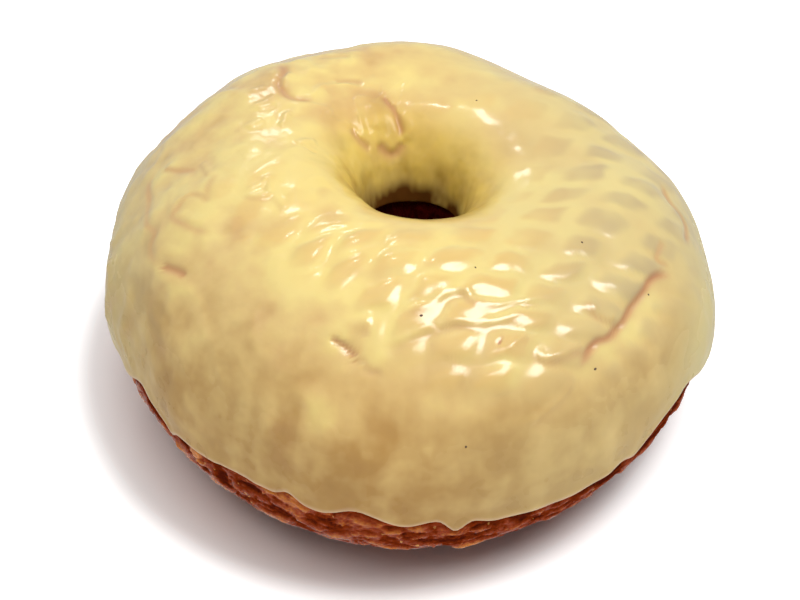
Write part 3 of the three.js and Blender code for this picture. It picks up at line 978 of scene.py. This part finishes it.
def routes_mesh():
    """The routes of creases and ropes as lines of turn and section, with their sizes on the points."""
    points, edges = [], []
    columns = {"deep": [], "wide": [], "swell": []}
    # a rope is stored as a crease whose depth is below 0
    raised = [(-high, wide, 0.0, route) for high, wide, route in ROPES]
    for *sizes, route in (*CREASES, *raised):
        first = len(points)
        # a route that passes +X keeps counting past a full turn
        turn_before = route[0][0]
        for turn, section in route:
            turn += 360 * round((turn_before - turn) / 360)
            turn_before = turn
            points.append((math.radians(turn), math.radians(section), 0.0))
            for values, size in zip(columns.values(), sizes):
                values.append(size * MM)
        edges += [(index, index + 1) for index in range(first, len(points) - 1)]
    mesh = bpy.data.meshes.new("icing_routes")
    mesh.from_pydata(points, edges, [])
    for name, values in columns.items():
        mesh.attributes.new(name, "FLOAT", "POINT").data.foreach_set("value", values)
    return mesh


def grown_piece(name, base_mesh, tree, settings):
    """Runs a tree on a base mesh and keeps the result as one plain mesh object at the origin.

    An input of the tree takes the setting of its name, from the last group that has one."""
    piece = bpy.data.objects.new(name, base_mesh)
    bpy.context.scene.collection.objects.link(piece)
    modifier = piece.modifiers.new("Shape", "NODES")
    modifier.node_group = tree
    for item in tree.interface.items_tree:
        setting = item.name.lower().replace(" ", "_")
        for group in settings:
            if hasattr(group, setting):
                modifier[item.identifier] = getattr(group, setting)
    bpy.context.view_layer.update()
    shaped = bpy.data.meshes.new_from_object(piece.evaluated_get(bpy.context.evaluated_depsgraph_get()))
    piece.modifiers.remove(modifier)
    piece.data = shaped
    shaped.name = name
    if not shaped.polygons:
        raise RuntimeError(f"{name} came out empty")
    return piece


def distance_property(name, description, default):
    return FloatProperty(name=name, description=description, default=default, min=0.0,
                         subtype="DISTANCE", unit="LENGTH", precision=5)


def colour_property(name, description, default):
    return FloatVectorProperty(name=name, description=description, default=default, size=3,
                               min=0.0, max=1.0, subtype="COLOR")


def power_property(name, description, default):
    return FloatProperty(name=name, description=description, default=default, min=0.0,
                         subtype="POWER", unit="POWER")


class DoughnutFormSettings(bpy.types.PropertyGroup):
    """Sizes of the ring"""
    ring_radius: distance_property("Ring Radius", "From the hole's axis to the widest side", RING_RADIUS)
    ring_height: distance_property("Ring Height", "From the table to the crown", RING_HEIGHT)
    hole_radius: distance_property("Hole Radius", "Radius of the hole at its narrowest", HOLE_RADIUS)
    waist_height: distance_property("Waist Height", "Height of the widest side", WAIST_HEIGHT)


class DoughnutIcingSettings(bpy.types.PropertyGroup):
    """Sizes and colours of the icing"""
    thickness: distance_property("Thickness", "Thickness of the coat", ICING_THICKNESS)
    side_height: distance_property("Side Edge", "Height of the rim on the side", SIDE_EDGE_HEIGHT)
    hole_height: distance_property("Hole Edge", "Height of the rim in the hole", HOLE_EDGE_HEIGHT)
    pillow_height: distance_property("Pillow Height", "Height of the rack's pillows", 0.26 * MM)
    fold_strength: FloatProperty(name="Fold Strength", description="How deep the folds are cut",
                                 default=1.0, min=0.0, max=2.0, subtype="FACTOR")
    columns: IntProperty(name="Columns", description="Faces round the ring", default=480, min=32)
    outer_rows: IntProperty(name="Outer Rows", description="Faces over the coat", default=180, min=32)
    inner_rows: IntProperty(name="Inner Rows", description="Faces under the coat", default=20, min=12)
    thick_colour: colour_property("Thick Colour", "Where the icing pooled", (0.70, 0.55, 0.197))
    thin_colour: colour_property("Thin Colour", "Where the crust shows through", (0.60, 0.405, 0.155))
    cell_colour: colour_property("Cell Colour", "Between the rack's lines", (0.44, 0.34, 0.175))
    warm_cell_colour: colour_property("Warm Cell Colour", "Where a cell lies nearer", (0.62, 0.42, 0.15))
    # the dull colour is also painted shade on the right and a painted reflection along the left and right
    # edges
    pale_colour: colour_property("Pale Colour", "Where the icing is dull", (0.57, 0.475, 0.22))
    # the flank and low colours carry painted shade on the side as well as the thin icing there
    flank_colour: colour_property("Flank Colour", "On the side", (0.43, 0.25, 0.08))
    low_colour: colour_property("Low Colour", "Low on the side", (0.32, 0.165, 0.055))
    # painted shade at the foot of folds and beside ropes
    crease_colour: colour_property("Crease Colour", "At the foot of folds", (0.50, 0.29, 0.13))
    # painted shade in the deepest creases
    dark_colour: colour_property("Dark Colour", "In the deepest folds", (0.38, 0.14, 0.07))
    hole_colour: colour_property("Hole Colour", "On the wall of the hole", (0.66, 0.465, 0.095))
    drip_colour: colour_property("Drip Colour", "Between the drips in the hole", (0.42, 0.27, 0.05))
    # painted shade deep in the hole
    shaft_colour: colour_property("Shaft Colour", "Deep in the hole", (0.11, 0.04, 0.007))
    rim_colour: colour_property("Rim Colour", "Along the edge", (0.66, 0.47, 0.32))


class DoughnutCrustSettings(bpy.types.PropertyGroup):
    """Sizes and colours of the fried crust"""
    inset: distance_property("Inset", "How far the bare crust lies behind the form", 0.9 * MM)
    crag_height: distance_property("Crag Height", "Height of the crust's crags", 0.6 * MM)
    columns: IntProperty(name="Columns", description="Faces round the ring", default=480, min=32)
    coated_rows: IntProperty(name="Coated Rows", description="Faces under the icing", default=24, min=12)
    bare_rows: IntProperty(name="Bare Rows", description="Faces over the bare crust", default=176, min=32)
    golden_colour: colour_property("Golden Colour", "On the ridges", (0.66, 0.215, 0.015))
    brown_colour: colour_property("Brown Colour", "Between them", (0.275, 0.036, 0.003))
    # the dark colour is also painted shade in the hollows, under the lip and near the floor
    dark_colour: colour_property("Dark Colour", "In the hollows", (0.07, 0.008, 0.003))
    # painted glints on the crust
    painted_glint_colour: colour_property("Spark Colour", "On small golden crumbs", (0.95, 0.55, 0.16))
    # painted shadow inside the hole
    hole_colour: colour_property("Hole Colour", "Inside the hole", (0.05, 0.003, 0.002))


class DoughnutSpeckSettings(bpy.types.PropertyGroup):
    """Size and colours of the dark crumbs"""
    radius: distance_property("Radius", "Half the width of a crumb", 0.17 * MM)
    brown_colour: colour_property("Brown Colour", "On the paler crumbs", (0.16, 0.08, 0.03))
    dark_colour: colour_property("Dark Colour", "On the darker crumbs", (0.03, 0.015, 0.008))


class DoughnutStudioSettings(bpy.types.PropertyGroup):
    """Camera and light"""
    camera_height: FloatProperty(name="Camera Height", description="Angle of the camera over the table",
                                 default=math.radians(42), subtype="ANGLE", unit="ROTATION")
    camera_distance: distance_property("Camera Distance", "From the camera to the doughnut", 0.240)
    ceiling_power: power_property("Ceiling Power", "Power of the wide light overhead", 1.8)
    softbox_power: power_property("Softbox Power", "Power of the light at the right", 1.25)
    shine_power: power_property("Shine Power", "Power of the light seen only in highlights", 1.4)
    glint_power: power_property("Glint Power", "Power of the small light over the back", 0.16)
    window_power: power_property("Window Power", "Power of the small light at the back", 0.1)
    room_light: FloatProperty(name="Room Light", description="Strength of the light all round",
                              default=0.2, min=0.0)
    room_shine: FloatProperty(name="Room Shine", description="Added strength of the room in reflections",
                              default=0.4, min=0.0)


class MESH_OT_doughnut_crust(bpy.types.Operator):
    """Make the fried ring with its bare crust"""
    bl_idname = "mesh.doughnut_crust"
    bl_label = "Fried Crust"
    bl_options = {"REGISTER", "UNDO"}

    def execute(self, context):
        scene = context.scene
        tree = crust_tree(crust_material(scene.doughnut_crust))
        settings = (scene.doughnut_form, scene.doughnut_icing, scene.doughnut_crust)
        crust = grown_piece(CRUST_NAME, bpy.data.meshes.new("crust_start"), tree, settings)
        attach(crust, BODY)
        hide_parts("dough_ring")
        return {"FINISHED"}


class MESH_OT_doughnut_icing(bpy.types.Operator):
    """Make the coat of lemon icing with its folds and rack lines"""
    bl_idname = "mesh.doughnut_icing"
    bl_label = "Lemon Icing"
    bl_options = {"REGISTER", "UNDO"}

    def execute(self, context):
        scene = context.scene
        tree = icing_coat_tree(icing_material(scene.doughnut_icing))
        coat = grown_piece(COAT_NAME, routes_mesh(), tree, (scene.doughnut_form, scene.doughnut_icing))
        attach(coat, BODY)
        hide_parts("lemon_icing")
        return {"FINISHED"}


class MESH_OT_doughnut_specks(bpy.types.Operator):
    """Make the few dark crumbs that stick to the icing"""
    bl_idname = "mesh.doughnut_specks"
    bl_label = "Dark Specks"
    bl_options = {"REGISTER", "UNDO"}

    def execute(self, context):
        looks = context.scene.doughnut_specks
        coat = bpy.data.objects.get(COAT_NAME)
        if coat is None:
            raise RuntimeError("The specks need the icing first")
        shape = bmesh.new()
        for number, place in enumerate(SPECKS):
            _, spot, normal, _ = coat.closest_point_on_mesh(Vector(place) * MM)
            turned = normal.to_track_quat("Z", "Y").to_matrix().to_4x4()
            stretch = 1.0 + SPECK_STRETCH * math.sin(number * 2.0)
            size = Matrix.Diagonal((looks.radius * stretch, looks.radius, looks.radius * SPECK_FLATNESS, 1.0))
            bmesh.ops.create_icosphere(shape, subdivisions=2, radius=1.0,
                                       matrix=Matrix.Translation(spot) @ turned @ size)
        mesh = bpy.data.meshes.new(SPECKS_NAME)
        shape.to_mesh(mesh)
        shape.free()
        mesh.materials.append(speck_material(looks))
        mesh.polygons.foreach_set("use_smooth", [True] * len(mesh.polygons))
        specks = bpy.data.objects.new(SPECKS_NAME, mesh)
        context.scene.collection.objects.link(specks)
        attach(specks, BODY)
        return {"FINISHED"}


class SCENE_OT_doughnut_studio(bpy.types.Operator):
    """Set up the floor, the light and the camera"""
    bl_idname = "scene.doughnut_studio"
    bl_label = "Studio"
    bl_options = {"REGISTER", "UNDO"}

    def execute(self, context):
        studio = context.scene.doughnut_studio
        add_camera(context, studio)
        add_lights(context, studio)
        add_floor(context)
        context.scene.view_settings.view_transform = "Standard"
        return {"FINISHED"}


def add_camera(context, studio):
    height = studio.camera_height
    aim = Vector((HOLE_AXIS[0], 0.0, AIM_HEIGHT))
    back = Vector((0.0, -math.cos(height), math.sin(height)))
    data = bpy.data.cameras.new("camera")
    data.sensor_width = SENSOR_WIDTH
    data.lens = FOCAL_PIXELS * SENSOR_WIDTH / FRAME_WIDTH
    data.shift_x = (FRAME_WIDTH / 2 - PHOTO_CENTRE[0]) / FRAME_WIDTH
    data.shift_y = (PHOTO_CENTRE[1] - FRAME_HEIGHT / 2) / FRAME_WIDTH
    data.clip_start = NEAR_CLIP
    camera = bpy.data.objects.new("camera", data)
    camera.location = aim + back * studio.camera_distance
    camera.rotation_euler = (-back).to_track_quat("-Z", "Y").to_euler()
    context.scene.collection.objects.link(camera)
    context.scene.camera = camera


def area_light(context, name, place, size, power, shines=True, lights=True):
    data = bpy.data.lights.new(name, "AREA")
    data.shape = "RECTANGLE"
    data.size, data.size_y = size
    data.energy = power
    light = bpy.data.objects.new(name, data)
    light.visible_glossy = shines
    light.visible_diffuse = lights
    light.location = place
    light.rotation_euler = Vector(place).to_track_quat("Z", "Y").to_euler()
    context.scene.collection.objects.link(light)


def add_lights(context, studio):
    for name, lamp in LAMPS.items():
        area_light(context, name, power=getattr(studio, name + "_power"), **lamp)
    world = bpy.data.worlds.new("room")
    world.use_nodes = True
    background = world.node_tree.nodes["Background"]
    paths = world.node_tree.nodes.new("ShaderNodeLightPath")
    is_shine = Field(world.node_tree, paths.outputs["Is Glossy Ray"])
    set_inputs(world.node_tree, background, Color=WHITE,
               Strength=is_shine * studio.room_shine + studio.room_light)
    context.scene.world = world


def add_floor(context):
    mesh = bpy.data.meshes.new("floor")
    corners = [(x * FLOOR_HALF, y * FLOOR_HALF, -FLOOR_DROP) for x, y in ((-1, -1), (1, -1), (1, 1), (-1, 1))]
    mesh.from_pydata(corners, [], [(0, 1, 2, 3)])
    material, tree, shader, place = new_material("floor white")
    # a painted shadow near the doughnut, and a glow further out
    away = place.minus(SHADOW_CENTRE).times(SHADOW_SHAPE).length()
    set_inputs(tree, shader, Base_Color=blended(away.ramp(*SHADOW_REACH), SHADOW_COLOUR, FLOOR_COLOUR),
               Roughness=0.6, Emission_Color=WHITE, Emission_Strength=away.ramp(*GLOW_REACH) * FLOOR_GLOW)
    mesh.materials.append(material)
    floor = bpy.data.objects.new("floor", mesh)
    floor.visible_glossy = False
    context.scene.collection.objects.link(floor)


class VIEW3D_PT_doughnut(bpy.types.Panel):
    """Sizes, colours and steps of the doughnut"""
    bl_label = "Iced Ring Doughnut"
    bl_idname = "VIEW3D_PT_doughnut"
    bl_space_type = "VIEW_3D"
    bl_region_type = "UI"
    bl_category = "Doughnut"

    def draw(self, context):
        layout = self.layout
        for settings, operator in PANEL_ROWS:
            box = layout.box()
            group = getattr(context.scene, settings)
            for name in group.bl_rna.properties.keys():
                if name not in ("rna_type", "name"):
                    box.prop(group, name)
            if operator:
                box.operator(operator.bl_idname)


PANEL_ROWS = (
    ("doughnut_form", None),
    ("doughnut_crust", MESH_OT_doughnut_crust),
    ("doughnut_icing", MESH_OT_doughnut_icing),
    ("doughnut_specks", MESH_OT_doughnut_specks),
    ("doughnut_studio", SCENE_OT_doughnut_studio),
)

SETTINGS = {
    "doughnut_form": DoughnutFormSettings,
    "doughnut_icing": DoughnutIcingSettings,
    "doughnut_crust": DoughnutCrustSettings,
    "doughnut_specks": DoughnutSpeckSettings,
    "doughnut_studio": DoughnutStudioSettings,
}

CLASSES = (
    *SETTINGS.values(),
    MESH_OT_doughnut_crust,
    MESH_OT_doughnut_icing,
    MESH_OT_doughnut_specks,
    SCENE_OT_doughnut_studio,
    VIEW3D_PT_doughnut,
)


def register():
    for item in CLASSES:
        bpy.utils.register_class(item)
    for name, settings in SETTINGS.items():
        setattr(bpy.types.Scene, name, PointerProperty(type=settings))


def unregister():
    for name in SETTINGS:
        delattr(bpy.types.Scene, name)
    for item in reversed(CLASSES):
        bpy.utils.unregister_class(item)


def main():
    register()
    bpy.ops.scene.doughnut_studio()
    bpy.ops.mesh.doughnut_crust()
    bpy.ops.mesh.doughnut_icing()
    bpy.ops.mesh.doughnut_specks()


if __name__ == "__main__":
    main()
